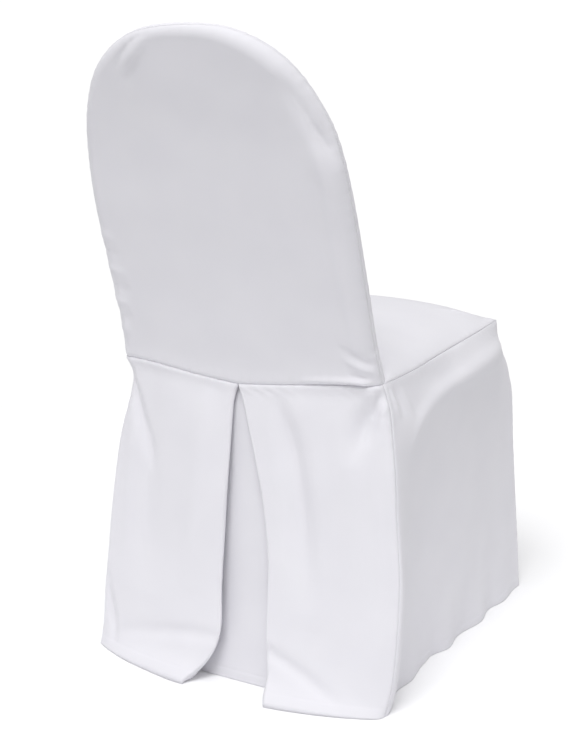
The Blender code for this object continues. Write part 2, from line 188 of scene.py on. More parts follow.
def waist_lift(lines):
    """How far each point of the rear panel slides up it, so that its lower edge is the waist seam."""
    up = np.array([0, math.tan(BACK_LEAN), 1])
    lift = np.zeros(lines.shape)
    half = len(lines) // 2
    for foot, rows in ((lines[0], slice(0, half)), (lines[-1], slice(half + 1, None))):
        gap = read(WAIST_SEAM, "height", abs(foot[:, 0])) - foot[:, 2]
        gap -= gap[0]
        above = lines[rows, :, 2] - foot[:, 2]
        fade = np.clip(1 - above / WAIST_FADE, 0, 1) ** 2
        lift[rows] = fade[:, :, None] * gap[:, None] * up
    return lift


def colour(hex_code):
    """An sRGB hex colour as linear red, green, blue and alpha."""
    parts = [int(hex_code[k : k + 2], 16) / 255 for k in (1, 3, 5)]
    return (*[c / 12.92 if c <= 0.04045 else ((c + 0.055) / 1.055) ** 2.4 for c in parts], 1)


def add_node(tree, kind, links=(), **settings):
    """A node with its settings, and links of (socket that gives, name of the input that takes)."""
    node = tree.nodes.new(kind)
    for name, value in settings.items():
        if name in node.inputs:
            node.inputs[name].default_value = value
        else:
            setattr(node, name, value)
    for giver, taker in links:
        tree.links.new(giver, node.inputs[taker])
    return node


# Woven polyester: a plain weave of fine filament threads, which scatters light softly. It reads as a
# smooth cool white, a little uneven, with a faint sheen where the cloth turns away.
POLYESTER_WHITE = "#e1e0e5"
POLYESTER_THIN = "#dcdbe1"
# How matt the cloth is, how strongly it bends light, and how much of a mirror's shine it keeps
POLYESTER_ROUGHNESS = 0.72
POLYESTER_IOR = 1.5
POLYESTER_GLOSS = 0.35
# How strong its sheen is, and how widely that is spread
SHEEN, SHEEN_ROUGHNESS = 0.2, 0.4
# The threads are really about 0.35 mm apart, too fine to show, and are drawn this far apart
THREAD_PITCH = 1.1
# How far the uneven patches of the cloth run, its thicker threads along and across the weft, and how
# high the weave stands
PATCH_LENGTH = 70.0
SLUB_LENGTH, SLUB_WIDTH = 30.0, 1.6
WEAVE_HEIGHT = 0.06


def woven_polyester(name):
    """White polyester cloth, drawn from the place of each point in the flat cloth, in millimetres."""
    material = bpy.data.materials.new(name)
    material.use_nodes = True
    tree = material.node_tree
    place = add_node(tree, "ShaderNodeAttribute", attribute_name="threads").outputs["Vector"]

    turns = add_node(
        tree, "ShaderNodeVectorMath", operation="SCALE", links=[(place, "Vector")],
        Scale=2 * math.pi / THREAD_PITCH,
    )
    waves = add_node(
        tree, "ShaderNodeVectorMath", operation="SINE", links=[(turns.outputs["Vector"], "Vector")]
    )
    weft_warp = add_node(tree, "ShaderNodeSeparateXYZ", links=[(waves.outputs["Vector"], "Vector")])
    weave = add_node(
        tree, "ShaderNodeMath", operation="MULTIPLY",
        links=[(weft_warp.outputs["X"], 0), (weft_warp.outputs["Y"], 1)],
    )
    stretched = add_node(
        tree, "ShaderNodeMapping", links=[(place, "Vector")],
        Scale=(1 / SLUB_LENGTH, 1 / SLUB_WIDTH, 1),
    )
    slubs = add_node(
        tree, "ShaderNodeTexNoise", links=[(stretched.outputs["Vector"], "Vector")], Scale=1, Detail=2
    )
    height = add_node(
        tree, "ShaderNodeMath", operation="MULTIPLY_ADD",
        links=[(weave.outputs["Value"], 0), (slubs.outputs["Fac"], 2)],
    )
    bump = add_node(
        tree, "ShaderNodeBump", links=[(height.outputs["Value"], "Height")],
        Strength=1, Distance=WEAVE_HEIGHT * MM,
    )
    patches = add_node(
        tree, "ShaderNodeTexNoise", links=[(place, "Vector")], Scale=1 / PATCH_LENGTH, Detail=1
    )
    white = add_node(
        tree, "ShaderNodeMixRGB", links=[(patches.outputs["Fac"], "Fac")],
        Color1=colour(POLYESTER_WHITE), Color2=colour(POLYESTER_THIN),
    )
    surface = tree.nodes["Principled BSDF"]
    tree.links.new(white.outputs["Color"], surface.inputs["Base Color"])
    tree.links.new(bump.outputs["Normal"], surface.inputs["Normal"])
    surface.inputs["Roughness"].default_value = POLYESTER_ROUGHNESS
    surface.inputs["IOR"].default_value = POLYESTER_IOR
    surface.inputs["Specular IOR Level"].default_value = POLYESTER_GLOSS
    surface.inputs["Sheen Weight"].default_value = SHEEN
    surface.inputs["Sheen Roughness"].default_value = SHEEN_ROUGHNESS
    return material


white_polyester = woven_polyester("woven polyester white")

# The cloth is really about 0.4 mm thick, and is drawn thicker so that its cut edges and folds show
CLOTH = 0.9
# The gathers beside a seam: how many waves they are made of, the shortest and the longest of them, and
# how far from the stitches they are highest
GATHER_WAVES, GATHER_LENGTHS, GATHER_PEAK = 4, (11, 27), 5
# The slow waves of a slack cloth: how many, and the shortest and the longest of them
SLACK_WAVES, SLACK_LENGTHS = 7, (70, 210)
# How many stretches a crease is drawn in, and how many half widths away from it there is none of it left
CREASE_STEPS = 40
CREASE_REACH = 3
# Points that agree to this many decimals of a millimetre are one point of the cloth
WELD_DECIMALS = 3
# What lies lower than this rests on the floor, and is moved only sideways
FLOOR_TOUCH = 0.01


def beside(distance, peak):
    """A soft roll of cloth beside a seam: nothing at the stitches, one at the peak, fading beyond."""
    return distance / peak * np.exp(1 - distance / peak)


def puckered(distance, along, height, seed):
    """Small uneven gathers that run a little way into the cloth from a seam's stitches."""
    random = np.random.default_rng(seed)
    waves = sum(
        np.sin(2 * math.pi * (along / random.uniform(*GATHER_LENGTHS) + random.uniform()))
        for _ in range(GATHER_WAVES)
    )
    return height * beside(distance, GATHER_PEAK) * waves


def rolled(distance, along, roll, seed):
    """The cloth's roll beside a seam, with its small gathers."""
    gathers = puckered(distance, along, roll["gather"], seed)
    return roll["height"] * beside(distance, roll["peak"]) + gathers


def clear_of(distance, reach):
    """How free the cloth is to fold: not at all at a seam, and wholly beyond its reach."""
    return 1 - np.exp(-((distance / reach) ** 2))


def slack(one, other, height, seed):
    """The slow uneven waves of a cloth that isn't quite taut."""
    random = np.random.default_rng(seed)
    waves = 0
    for _ in range(SLACK_WAVES):
        turn, length = random.uniform(0, math.pi), random.uniform(*SLACK_LENGTHS)
        way = one * math.cos(turn) + other * math.sin(turn)
        waves = waves + np.sin(2 * math.pi * (way / length + random.uniform()))
    return height * waves / SLACK_WAVES


def creased(one, other, creases):
    """The relief of folds and troughs, each a row of points with its half width and height there."""
    relief = np.zeros(one.shape)
    for points in creases:
        points = np.array(points, float)
        at = lengths_along(points[:, :2])
        along = np.linspace(0, at[-1], CREASE_STEPS + 1)
        line = np.stack([smooth(along, at, points[:, k]) for k in range(4)], 1)
        reach = CREASE_REACH * points[:, 2].max()
        low, high = line.min(0) - reach, line.max(0) + reach
        near = (one > low[0]) & (one < high[0]) & (other > low[1]) & (other < high[1])
        spots = np.stack([one[near], other[near]], 1)[:, None]
        step = np.diff(line, axis=0)
        share = ((spots - line[:-1, :2]) * step[:, :2]).sum(2) / (step[:, :2] ** 2).sum(1)
        nearest = line[:-1] + step * share.clip(0, 1)[:, :, None]
        away = np.linalg.norm(nearest[:, :, :2] - spots, axis=2)
        best = away.argmin(1)
        rows = np.arange(len(best))
        half_width, height = nearest[rows, best, 2], nearest[rows, best, 3]
        relief[near] += height * np.exp(-((away[rows, best] / half_width) ** 2))
    return relief


def folded(one, other, creases, waves, seed):
    """The relief of a panel's creases together with its slow slack waves."""
    return creased(one, other, creases) + slack(one, other, waves, seed)


def hang(name, grid, threads, relief, inside_out):
    """A panel's grid of points, raised by its relief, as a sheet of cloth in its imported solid's place.

    threads holds each point's place along the weft and the warp of the cloth while it lay flat.
    """
    rows, columns = grid.shape[:2]
    points, index = np.unique(
        np.round(grid.reshape(-1, 3), WELD_DECIMALS), axis=0, return_inverse=True
    )
    index = index.reshape(rows, columns)
    raised = np.zeros(len(points))
    raised[index] = relief
    corners = np.stack([index[:-1, :-1], index[1:, :-1], index[1:, 1:], index[:-1, 1:]], -1)
    faces = []
    for face in corners.reshape(-1, 4).tolist():
        face = [n for k, n in enumerate(face) if n != face[k - 1]]
        if len(face) > 2:
            faces.append(face[::-1] if inside_out else face)
    mesh = bpy.data.meshes.new(name)
    mesh.from_pydata((points - BOX_MIDDLE).tolist(), [], faces)
    normals = np.array([normal.vector[:] for normal in mesh.vertex_normals])
    on_floor = points[:, 2] < FLOOR_TOUCH
    normals[on_floor, 2] = 0
    shaped = (points - BOX_MIDDLE + normals * raised[:, None]) * MM
    mesh.vertices.foreach_set("co", shaped.astype(np.float32).ravel())
    mesh.shade_smooth()
    woven = np.zeros((len(points), 3), np.float32)
    woven[index, 0], woven[index, 1] = threads
    mesh.attributes.new("threads", "FLOAT_VECTOR", "POINT").data.foreach_set("vector", woven.ravel())
    mesh.materials.append(white_polyester)
    piece = bpy.data.objects.new(name, mesh)
    bpy.context.scene.collection.objects.link(piece)
    thick = piece.modifiers.new("cloth", "SOLIDIFY")
    thick.thickness = CLOTH * MM
    thick.offset = 0
    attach(piece, "root")
    return piece


# The back's creases, each a row of (x, height, half width, how far it stands out): a dent under the
# right shoulder and the light swell below it, a pucker at the left shoulder, the gathers down the left
# edge, the folds that run up from the right end of the waist, the roll above that end, and a taut line
# beside the right edge
REAR_CREASES = [
    [(-128, 868, 8, 0), (-150, 842, 12, -4), (-167, 816, 13, -7), (-181, 790, 12, -7),
     (-190, 766, 9, -3), (-195, 748, 7, 0)],
    [(-170, 808, 5, 0), (-179, 794, 6, -2.4), (-187, 778, 6, -2.4), (-193, 762, 5, 0)],
    [(-162, 780, 10, 0), (-172, 760, 14, 2.4), (-182, 738, 13, 2.2), (-190, 708, 9, 0)],
    [(40, 912, 6, 0), (60, 899, 8, 3), (78, 884, 9, 3.5), (96, 862, 7, 0)],
    [(62, 888, 5, 0), (74, 874, 8, -2), (90, 848, 11, 0)],
    [(46, 918, 4, 0), (70, 906, 5, -2), (92, 888, 5, -2), (108, 866, 4, 0)],
    [(203, 648, 4, 0), (188, 644, 7, 1.4), (166, 640, 8, 0)],
    [(203, 626, 4, 0), (186, 622, 8, -2), (162, 616, 9, 0)],
    [(203, 600, 4, 0), (184, 594, 7, 2), (160, 588, 8, 0)],
    [(204, 574, 4, 0), (184, 569, 8, -2.6), (160, 562, 9, 0)],
    [(205, 552, 4, 0), (188, 547, 7, 2.2), (166, 541, 8, 0)],
    [(206, 530, 4, 0), (190, 525, 8, -2.2), (168, 520, 9, 0)],
    [(206, 508, 4, 0), (194, 503, 7, 1.6), (176, 499, 8, 0)],
    [(-160, 514, 5, 0), (-178, 504, 6, -2.4), (-196, 494, 6, -3), (-209, 485, 4, -1.5)],
    [(-164, 497, 5, 0), (-182, 488, 5, 1.8), (-198, 481, 5, 2.4), (-209, 474, 4, 1)],
    [(-172, 474, 4, 0), (-190, 470, 5, -2), (-206, 463, 4, -2)],
    [(-96, 455, 4, 0), (-130, 459, 5, 3), (-165, 462, 5, 4.5), (-196, 463, 5, 4.5), (-208, 464, 4, 0)],
    [(-186, 752, 7, 0), (-180, 690, 9, 1.2), (-182, 620, 9, 1.4), (-186, 560, 8, 1.2),
     (-191, 522, 5, 0)],
]
# How high both of the back's panels wave where they are slack
BACK_SLACK = 1.2
# How high the cloth rolls beside its edge seam and beside the waist, how far from the stitches the roll
# is highest, and how high the cloth gathers there
EDGE_ROLL = {"height": 0.5, "peak": 4, "gather": 0.12}
WAIST_ROLL = {"height": 1.8, "peak": 6, "gather": 0.15}
# How far the stitches of each seam hold the folds flat, and the other roll
EDGE_HOLD, WAIST_HOLD, ROLL_HOLD = 9, 5, 5

back_rear = back_panel(rear=True, foot=REAR_PANEL_FOOT)
back_rear += waist_lift(back_rear)
from_edge = lengths_along(back_rear.transpose(1, 0, 2)).T
round_edge = lengths_along(back_rear)
from_waist = np.minimum(round_edge, round_edge[-1] - round_edge)
from_waist[:, CAP_STEPS:] = np.minimum(
    from_waist, back_rear[:, :, 2] - read(WAIST_SEAM, "height", abs(back_rear[:, :, 0]))
)[:, CAP_STEPS:].clip(0)
relief = folded(back_rear[:, :, 0], back_rear[:, :, 2], REAR_CREASES, BACK_SLACK, seed=3)
relief *= clear_of(from_edge, EDGE_HOLD) * clear_of(from_waist, WAIST_HOLD)
edge_roll = rolled(from_edge, round_edge[:, :1], EDGE_ROLL, seed=1)
waist_roll = rolled(from_waist, back_rear[:, :, 0], WAIST_ROLL, seed=2)
relief += edge_roll * clear_of(from_waist, ROLL_HOLD) + waist_roll * clear_of(from_edge, ROLL_HOLD)
threads = back_rear[:, :, 0], back_rear[:, :, 2] / math.cos(BACK_LEAN)
piece = hang("rear_panel", back_rear, threads, relief, False)
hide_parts("back_rear_panel")


# The back's front panel.
# The same cloth over the front of the chair's back, from the edge seam down into the seat's crease.

FRONT_PANEL_FOOT = 470.0
# How far the seat's crease holds the panel's folds flat, and the roll of its edge seam
CREASE_HOLD, CREASE_ROLL_HOLD = 12, 8
# The front panel's creases, as for the rear one: pulls at both ends of the seat's crease and a pucker
# at each shoulder
FRONT_CREASES = [
    [(148, 492, 8, 0), (170, 512, 9, 2.6), (190, 542, 8, 0)],
    [(120, 478, 8, 0), (150, 494, 8, -2), (182, 520, 7, 0)],
    [(-146, 494, 8, 0), (-172, 520, 9, 2.4), (-190, 556, 8, 0)],
    [(-118, 480, 8, 0), (-152, 500, 8, -2.4), (-184, 530, 7, 0)],
    [(-150, 800, 9, 0), (-166, 822, 10, -3), (-158, 846, 8, 0)],
    [(96, 862, 8, 0), (118, 856, 9, 2.4), (138, 838, 8, 0)],
]

back_front = back_panel(rear=False, foot=FRONT_PANEL_FOOT)
from_edge = lengths_along(back_front.transpose(1, 0, 2)).T
from_crease = back_front[:, :, 2] - FRONT_PANEL_FOOT
relief = folded(back_front[:, :, 0], back_front[:, :, 2], FRONT_CREASES, BACK_SLACK, seed=4)
relief *= clear_of(from_edge, EDGE_HOLD) * clear_of(from_crease.clip(0), CREASE_HOLD)
edge_roll = rolled(from_edge, round_edge[:, :1], EDGE_ROLL, seed=1)
relief += edge_roll * clear_of(from_crease.clip(0), CREASE_ROLL_HOLD)
threads = back_front[:, :, 0], back_front[:, :, 2] / math.cos(BACK_LEAN)
piece = hang("front_panel", back_front, threads, relief, True)
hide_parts("back_front_panel")


# The rear skirt.
# One wide cloth below the waist seam, with an inverted box pleat in its middle, so that the chair can
# be reached into and the skirt can flare. Its hem is turned up and stitched.

# The height of the pleat's top, and the radius of its folds
PLEAT_HEIGHT = 440.0
FOLD_RADIUS = 2.0
# Steps of the mesh round a fold, along the pleat's return under a flap and across its underlay
FOLD_STEPS = 6
RETURN_STEPS = 16
UNDERLAY_STEPS = 40
# Lines of the mesh in a flap, one for each of the panel above it
FLAP_COLUMNS = CAP_STEPS + FACE_STEPS + 1
# Where the rows of a skirt lie from its seam to its hem, and how many sections the rear skirt is made of
ROW_SHARES = shares(160, 0.6)
SECTION_HEIGHTS = 220
# The share of its fall within which a skirt is drawn to the seam that it hangs from
SETTLE_SHARE = {"rear": 0.25, "other": 0.2}

# The skirt, hem to waist: its corners, the pleat's two visible folds, and the pleat's depth
REAR_SKIRT = {
    "columns": "height left_x left_y left_tip right_tip tip_y right_x right_y"
    " left_fold right_fold fold_y roundness",
    "rows": [
        (0, 257, 211, 49.5, -86, 256, -263, 211, 62, -98, 221, 1.3),
        (12, 255, 210, 39, -82, 252, -265, 209, 62, -98, 219.5, 1.3),
        (27, 252.5, 208.5, 27, -79, 247, -267.5, 208, 62, -97, 217.5, 1.32),
        (50, 249.5, 206.5, 14.5, -75, 241, -269, 206.5, 62, -97, 214, 1.35),
        (80, 246.5, 204, 8, -70, 234, -269, 204, 62, -96, 209.5, 1.4),
        (120, 242, 199, 10.5, -67, 227, -268, 200.5, 63, -95, 203.5, 1.45),
        (200, 234.5, 190.5, 11.5, -63, 217, -263, 190.5, 64, -93, 199, 1.55),
        (280, 226, 179.5, 9.2, -51, 210.8, -251.5, 180.5, 64, -86, 194.5, 1.75),
        (350, 213.5, 172, 7.3, -32, 203.2, -242, 171.5, 65, -79, 190.2, 2.1),
        (400, 201.5, 165, 6.2, -16, 196.8, -231.5, 165, 65, -71, 187, 2.6),
        (425, 199.5, 162, 3.9, -7, 193.1, -225, 161.5, 65, -67, 184.6, 3.1),
        (440, 203, 160, 0.3, -0.3, 190.8, -219, 160, 65, -65, 183, 3.4),
        (458, 211, 158.5, 0.3, -0.3, 191, -211, 158.5, 65, -65, 183, 3.5),
    ],
}
# Soft upright folds in the flaps: where each lies from corner to pleat, 0 to 1, at the waist and at
# the hem, its half width there as a share of the flap, and how far it stands out
FLAP_FOLDS = {
    "columns": "side waist_place hem_place half_width stand_out",
    "rows": [
        (1, 0.10, 0.12, 0.10, 5),
        (1, 0.24, 0.42, 0.13, -8),
        (-1, 0.14, 0.17, 0.10, -5),
        (-1, 0.62, 0.72, 0.16, 5),
    ],
}
# The folds end at 1 / FOLD_END of the way down from the waist, and a power under one keeps them full
FOLD_END, FOLD_FULLNESS = 1.3, 0.7


def fold_path(tip, fold):
    """The pleat's cloth from a visible fold, round it and back under the flap, to the inner fold."""
    tip_centre = tip - [0, FOLD_RADIUS]
    fold_centre = fold + [0, FOLD_RADIUS]
    across = fold_centre - tip_centre
    lean = math.asin(min(1, 2 * FOLD_RADIUS / np.linalg.norm(across)))
    heading = math.atan2(across[1], across[0]) + lean
    first = np.linspace(math.pi / 2, heading + 1.5 * math.pi, FOLD_STEPS + 1)
    second = np.linspace(heading + math.pi / 2, -math.pi / 2, FOLD_STEPS + 1)
    round_tip = tip_centre + FOLD_RADIUS * np.stack([np.cos(first), np.sin(first)], 1)
    round_fold = fold_centre + FOLD_RADIUS * np.stack([np.cos(second), np.sin(second)], 1)
    share = np.linspace(0, 1, RETURN_STEPS + 1)[1:-1, None]
    straight = round_tip[-1] + (round_fold[0] - round_tip[-1]) * share
    return np.concatenate([round_tip, straight, round_fold])


def flap_path(corner, tip, share, roundness, side, height):
    """One flap from the skirt's corner to the pleat's visible fold, with its soft folds."""
    rise = (1 - (1 - share) ** roundness) ** (1 / roundness)
    path = corner + (tip - corner) * np.stack([share, rise], 1)
    fall = 1 - height / WAIST_HEIGHT
    for row_side, waist_place, hem_place, half_width, stand_out in FLAP_FOLDS["rows"]:
        if row_side == side:
            place = waist_place + (hem_place - waist_place) * fall
            swell = np.exp(-(((share - place) / half_width) ** 2)) * share * (1 - share) * 4
            drawn = math.sin(math.pi * min(1, fall * FOLD_END)) ** FOLD_FULLNESS
            path[:, 1] += stand_out * swell * drawn
    return path


def rear_section(height, share):
    """The skirt's cloth at one height, from its left corner through the pleat to its right."""
    at = {name: float(read(REAR_SKIRT, name, [height])[0]) for name in REAR_SKIRT["columns"].split()}
    halves = []
    for side, name in ((1, "left"), (-1, "right")):
        corner = np.array([side * at[f"{name}_x"], at[f"{name}_y"]])
        tip = np.array([side * at[f"{name}_tip"] + FOLD_RADIUS, at["tip_y"]])
        fold = np.array([side * at[f"{name}_fold"], at["fold_y"]])
        flap = flap_path(corner, tip, share, at["roundness"], side, height)
        half = np.concatenate([flap, fold_path(tip, fold)[1:]])
        halves.append(half * [side, 1])
    left, right = halves
    across = np.linspace(0, 1, UNDERLAY_STEPS + 1)[1:-1, None]
    underlay = left[-1] + (right[-1] - left[-1]) * across
    return np.concatenate([left, underlay, right[::-1]])


def settled(skirt):
    """How much each row of a skirt is moved with its seam: all of it at the seam, fading below."""
    return (np.clip(1 - ROW_SHARES / SETTLE_SHARE[skirt], 0, 1) ** 2)[:, None, None]


def rear_skirt(waist):
    """The rear skirt as rows from the waist seam down to the hem."""
    half = len(waist) // 2
    share = lengths_along(waist[: half + 1] * [1, 0, 0])
    share = share / share[-1]
    heights = np.linspace(0, WAIST_HEIGHT, SECTION_HEIGHTS)
    sections = np.array([rear_section(height, share) for height in heights])
    flat = rear_section(PLEAT_HEIGHT, share)
    top_height = np.interp(flat[:, 0], waist[::-1, 0], waist[::-1, 2])
    height = (1 - ROW_SHARES)[:, None] * top_height
    rows = np.empty((*height.shape, 3))
    rows[:, :, 2] = height
    for place in range(height.shape[1]):
        for axis in (0, 1):
            rows[:, place, axis] = np.interp(height[:, place], heights, sections[:, place, axis])
    seam = np.concatenate([waist[:half], waist[half + 1 :]])
    columns = [*range(half), *range(len(flat) - half, len(flat))]
    rows[:, columns] += settled("rear") * (seam - rows[0, columns])
    return rows


waist = np.concatenate([back_rear[-1], back_rear[0][-2::-1]])
rear = rear_skirt(waist)


# The seat panel.
# The cloth over the seat cushion, crowned by it, between the crease at the back and the three skirts.

# The seat's side seam, from the waist corner forward
SEAT_SEAM = {
    "columns": "share x y height",
    "rows": [
        (0, 211, 158.5, 457.3), (0.12, 216, 105, 459), (0.4, 217, -22, 465),
        (0.7, 214, -157, 469), (0.88, 210.5, -238, 471), (1, 206, -290, 472),
    ],
}
# How quickly the seam's move to the waist corner fades along it
SEAM_EASE = 4
# How high the cushion crowns the seat, and how squarely the crown falls off to its sides and its ends
SEAT_CROWN = {"rise": 28, "side_power": 3, "end_power": 9}
# How far the front seam bows forward, and how far it rises, in its middle
SEAT_FRONT_SEAM = {"bow": 13, "rise": 3}
SIDE_SHARES = shares(150)


def seat_side_seam(side, corner):
    """The seam at the seat's side, from the waist corner it shares with the back to the front."""
    x, y, z = (read(SEAT_SEAM, name, SIDE_SHARES) for name in ("x", "y", "height"))
    seam = np.stack([side * x, y, z], 1)
    return seam + (corner - seam[0]) * (1 - SIDE_SHARES[:, None]) ** SEAM_EASE


def seat_front_seam(share):
    """The seam at the seat's front, from the right corner to the left one."""
    corner = SEAT_SEAM["rows"][-1]
    bow = 1 - (2 * share - 1) ** 2
    x = corner[1] * (2 * share - 1)
    y, z = corner[2] - SEAT_FRONT_SEAM["bow"] * bow, corner[3] + SEAT_FRONT_SEAM["rise"] * bow
    return np.stack([x, y, z], 1)


def seat_panel(crease):
    """The seat between its crease, its side seams and its front seam, crowned over the cushion."""
    u = lengths_along(crease)
    u = u / u[-1]
    right, left = seat_side_seam(-1, crease[0]), seat_side_seam(1, crease[-1])
    v = lengths_along(right)
    v = v / v[-1]
    front = seat_front_seam(u)
    across, down = u[None, :, None], v[:, None, None]
    rows = (1 - down) * crease + down * front + (1 - across) * right[:, None] + across * left[:, None]
    rows -= (1 - across) * (1 - down) * crease[0] + across * (1 - down) * crease[-1]
    rows -= (1 - across) * down * front[0] + across * down * front[-1]
    across_crown = 1 - np.abs(2 * u - 1) ** SEAT_CROWN["side_power"]
    down_crown = 1 - np.abs(2 * v - 1) ** SEAT_CROWN["end_power"]
    rows[:, :, 2] += SEAT_CROWN["rise"] * across_crown * down_crown[:, None]
    return rows


# The seat's creases, as (x, y, half width, how far they stand out): pulls at its four corners
SEAT_CREASES = [
    [(-196, 128, 7, 0), (-168, 92, 10, -2.6), (-136, 56, 10, 0)],
    [(198, 126, 7, 0), (172, 84, 11, -2.4), (138, 52, 10, 0)],
    [(-190, -272, 6, 0), (-164, -246, 9, 2.4), (-130, -214, 9, 0)],
    [(188, -274, 6, 0), (160, -244, 10, 2), (124, -218, 9, 0)],
]
# How high it waves where it is slack, and its roll beside the side and front seams
SEAT_SLACK = 1.6
SEAT_ROLL = {"height": 1.1, "peak": 5, "gather": 0.15}
# How far the seams hold the seat's creases flat, its slack, and each other's roll
SEAT_CREASE_HOLD, SEAT_SLACK_HOLD, SEAT_ROLL_HOLD = 6, 10, 6

crease = np.concatenate([back_front[0], back_front[-1][-2::-1]])
seat = seat_panel(crease)
from_side = lengths_along(seat.transpose(1, 0, 2)).T
from_side = np.minimum(from_side, from_side[:, -1:] - from_side)
from_crease = lengths_along(seat)
from_front = from_crease[-1] - from_crease
from_seam = np.minimum(from_side, np.minimum(from_front, from_crease))
relief = creased(seat[:, :, 0], seat[:, :, 1], SEAT_CREASES) * clear_of(from_seam, SEAT_CREASE_HOLD)
waves = slack(seat[:, :, 0], seat[:, :, 1], SEAT_SLACK, seed=7)
relief += waves * clear_of(from_seam, SEAT_SLACK_HOLD)
side_roll = rolled(from_side, seat[:, :, 1], SEAT_ROLL, seed=5)
front_roll = rolled(from_front, seat[:, :, 0], SEAT_ROLL, seed=6)
relief += side_roll * clear_of(np.minimum(from_front, from_crease), SEAT_ROLL_HOLD)
relief += front_roll * clear_of(from_side, SEAT_ROLL_HOLD)
threads = lengths_along(seat.transpose(1, 0, 2)).T, from_crease
piece = hang("seat_cloth", seat, threads, relief, False)
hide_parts("seat_panel")


# The two side skirts.
# Cloths hung from the seat's side seams and sewn to the rear and front skirts at the corners. They
# fall a little hollow behind and full in front, and their hems wave.

# Each side skirt, hem to seam: how far it hangs from the middle plane at three places and at its front
# corner, and where that corner is in y
SIDE_SKIRT = {
    "columns": "height hollow middle fore corner corner_y",
    "rows": [
        (0, 229, 235, 245, 254, -333),
        (60, 230, 236, 244, 251.5, -326),
        (170, 232, 236, 241, 246, -314),
        (280, 235, 236.5, 238, 241, -304),
        (340, 238, 237, 237, 238.5, -300.5),
        (365, 239.5, 238, 237.2, 235.5, -298.3),
        (385, 240, 239.5, 238, 231, -296),
        (400, 237, 241, 239.3, 227.5, -294),
        (412, 232, 241.8, 240.5, 222.5, -292.3),
        (424, 227.5, 240, 240.5, 217.5, -291),
        (436, 223, 234, 236.5, 213, -290),
        (448, 219, 227.5, 229.5, 209.5, -289.5),
        (460, 215.5, 221, 221.5, 207.3, -289.7),
        (472, 211, 213, 212.5, 206, -290),
    ],
}
# Where the three places are, from the rear corner at 0 to the front one at 1
SIDE_STATIONS = {"hollow": 0.14, "middle": 0.42, "fore": 0.8}
# The ruffle of the hems: places along the side from rear to front, and how far each stands out
HEM_RUFFLE = {
    "columns": "share right left",
    "rows": [
        (0, 0, 0), (0.12, -1, 3), (0.17, 7, 1), (0.2, 12, -2), (0.25, 11, -5), (0.3, 5, 0),
        (0.34, 1, 5), (0.37, -2, 7), (0.44, 6, 4), (0.51, -2, -4), (0.56, -1, -5), (0.63, 7, 4),
        (0.68, 7, 8), (0.75, 0, 2), (0.82, 6, -4), (0.88, 6, 1), (0.94, 2, 3), (1, 0, 0),
    ],
}
# How high up the skirt the ruffle reaches, and how quickly it fades on the way
RUFFLE_HEIGHT = 110.0
RUFFLE_FADE = 1.5


def side_skirt(side, seam, ridge):
    """A side skirt from the seat's side seam to the hem; its rear edge is the rear skirt's corner."""
    share = lengths_along(seam)
    share = share / share[-1]
    stations = np.array([0, *SIDE_STATIONS.values(), 1])
    ruffle = read(HEM_RUFFLE, "right" if side < 0 else "left", share)
    rows = []
    for place, fall in enumerate(ROW_SHARES):
        height = seam[:, 2] * (1 - fall)
        out = [np.full(len(share), side * ridge[place, 0])]
        out += [read(SIDE_SKIRT, name, height) for name in SIDE_STATIONS]
        out.append(read(SIDE_SKIRT, "corner", height))
        x = [smooth(at, stations, np.array(known)) for at, known in zip(share, zip(*out))]
        x += ruffle * np.clip(1 - height / RUFFLE_HEIGHT, 0, 1) ** RUFFLE_FADE
        front_y = read(SIDE_SKIRT, "corner_y", height)
        y = ridge[place, 1] + (front_y - ridge[place, 1]) * share
        rows.append(np.stack([side * np.array(x), y, height], 1))
    rows = np.array(rows)
    rows += settled("other") * (seam - rows[0])
    rows[:, 0] = ridge
    return rows


side_right = side_skirt(-1, seat[:, 0], rear[:, -1])
side_left = side_skirt(1, seat[:, -1], rear[:, 0])


# The front skirt.
# The cloth below the seat's front seam, bowed a little forward by the cushion's edge.

FRONT_BOW = {
    "columns": "height bow",
    "rows": [(0, 4), (170, 7), (340, 13), (420, 16), (472, 13)],
}


def front_skirt(seam, right_edge, left_edge):
    """The front skirt between the side skirts' front edges, bowed a little forward."""
    share = lengths_along(seam)
    share = share / share[-1]
    rows = []
    for place, fall in enumerate(ROW_SHARES):
        row = right_edge[place] + (left_edge[place] - right_edge[place]) * share[:, None]
        row[:, 2] = seam[:, 2] * (1 - fall)
        row[:, 1] -= read(FRONT_BOW, "bow", row[:, 2]) * (1 - (2 * share - 1) ** 2)
        rows.append(row)
    rows = np.array(rows)
    rows += settled("other") * (seam - rows[0])
    return rows


front = front_skirt(seat[-1], side_right[:, -1], side_left[:, -1])


# The skirts' corners.
# Where two skirts are sewn together, the cloth turns in a soft round, wider at the hem. At the rear
# corners the seam has slipped a little towards the rear skirt.

# How round the corner is, and how far its seam lies from the corner towards the rear or front skirt
REAR_CORNER = {
    "columns": "height radius slide",
    "rows": [
        (0, 46, 7), (60, 30, 7), (120, 19, 7), (250, 13, 6), (400, 11, 4), (440, 5, 1), (458, 0, 0),
    ],
}
FRONT_CORNER = {
    "columns": "height radius slide",
    "rows": [(0, 16, 0), (200, 13, 0), (430, 12, 0), (460, 6, 0), (472, 0, 0)],
}
# How deep the round cuts into the corner, as a share of its radius, and the smallest radius there is
CORNER_DEPTH = 0.35
SHARPEST_CORNER = 0.01
# How far along the skirts the slipped seam moves the cloth
SLIDE_REACH = 40.0
# The line of the mesh that shows which way a skirt leaves its corner
ARM_COLUMN = 3


